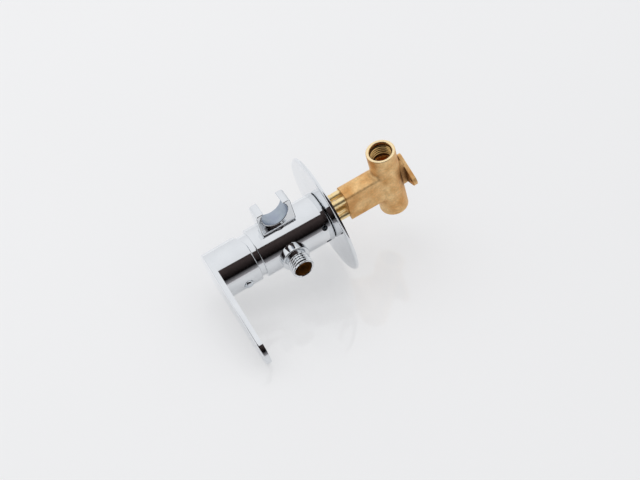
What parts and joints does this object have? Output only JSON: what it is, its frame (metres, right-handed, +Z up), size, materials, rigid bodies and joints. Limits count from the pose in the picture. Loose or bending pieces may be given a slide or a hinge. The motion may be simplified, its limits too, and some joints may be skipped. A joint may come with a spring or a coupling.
{
  "type": "concealed bidet shower mixer",
  "caption": "Chromed single-lever wall valve with hose outlet, handset holder and round cover plate, on a brass in-wall inlet casting.",
  "frame": {"origin": "on the body's axis in the plane of the finished wall, where the cover plate's rim rests", "axes": "+Y along the body's axis into the wall, +X to the right seen from the front, +Z up"},
  "size_m": [0.113, 0.1992, 0.151],
  "materials": {
    "chrome": "polished plating",
    "index_chrome": "polished plating",
    "cast_brass": "sand cast",
    "turned_brass": "turned",
    "steel": "plain",
    "rubber": "moulded",
    "cartridge_plastic": "moulded",
    "alumina": "lapped"
  },
  "bodies": {
    "fixed": {"mixer_body": "chrome", "cover_plate": "chrome", "plate_ring": "rubber", "hose_outlet": "chrome", "outlet_seal": "rubber", "handset_holder": "chrome", "holder_stud": "steel", "hot_tube": "turned_brass", "cold_tube": "turned_brass", "guide_pins": "turned_brass", "tube_seals": "rubber", "set_screws": "steel", "in_wall_body": "cast_brass", "cartridge_base": "cartridge_plastic", "inlet_port_seals": "rubber", "outlet_port_seal": "rubber", "cartridge_housing": "cartridge_plastic", "fixed_disc": "alumina", "cartridge_nut": "turned_brass", "neck_ring": "chrome"},
    "rotor": {"spindle_carrier": "cartridge_plastic", "spindle_pin": "steel"},
    "lever": {"spindle": "turned_brass", "lever_handle": "chrome", "handle_grub_screw": "steel", "index_plug": "index_chrome"},
    "disc": {"moving_disc": "alumina", "disc_carrier": "cartridge_plastic"}
  },
  "joints": [
    {"name": "handle_turn", "type": "hinge", "parent": "fixed", "child": "rotor", "pos_m": [0, -0.08, 0], "axis": [0, 1, 0], "range_deg": [-56, 34]},
    {"name": "handle_lift", "type": "hinge", "parent": "rotor", "child": "lever", "pos_m": [0, -0.08, 0], "axis": [-0.9816, 0, 0.1908], "range_deg": [0, 25]},
    {"name": "disc_slide", "type": "slide", "parent": "rotor", "child": "disc", "axis": [-0.1908, 0, -0.9816], "range_m": [0, 0.00466]}
  ],
  "couplings": [
    {"joint": "disc_slide", "follows": "handle_lift", "m_per_rad": 0.010654}
  ]
}
